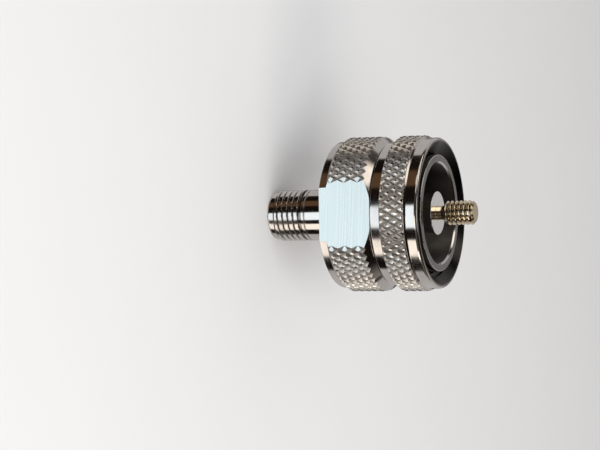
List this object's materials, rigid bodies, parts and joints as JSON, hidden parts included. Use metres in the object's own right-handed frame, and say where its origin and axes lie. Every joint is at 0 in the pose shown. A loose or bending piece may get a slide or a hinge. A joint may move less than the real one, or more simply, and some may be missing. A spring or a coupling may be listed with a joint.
{
  "type": "coaxial connector adaptor",
  "caption": "Coaxial adaptor: small threaded jack, knurled body with wrench flats, and a wide line end with a free-spinning knurled coupling nut and a threaded centre stud.",
  "frame": {"origin": "centre of the jack's open end, which is the foot the adaptor stands on", "axes": "+Z along the connector's axis, from the jack to the coupling nut and the stud; the two wrench flats face -Y and +Y"},
  "size_m": [0.0192, 0.0192, 0.0265],
  "materials": {
    "nickel": "polished nickel plate",
    "gold": "gold plate",
    "ptfe": "turned white plastic",
    "rubber": "matt"
  },
  "bodies": {
    "adaptor": {"main_body": "nickel", "outer_conductor": "nickel", "retaining_ring": "nickel", "face_gasket": "rubber", "insulating_bead": "ptfe", "centre_conductor": "nickel", "centre_stud": "gold", "jack_insulator": "ptfe", "jack_contact": "gold"},
    "nut": {"coupling_nut": "nickel"}
  },
  "joints": [
    {"name": "nut_spin", "type": "hinge", "parent": "adaptor", "child": "nut", "pos_m": [0, 0, 0.0165], "axis": [0, 0, 1], "continuous": true}
  ]
}
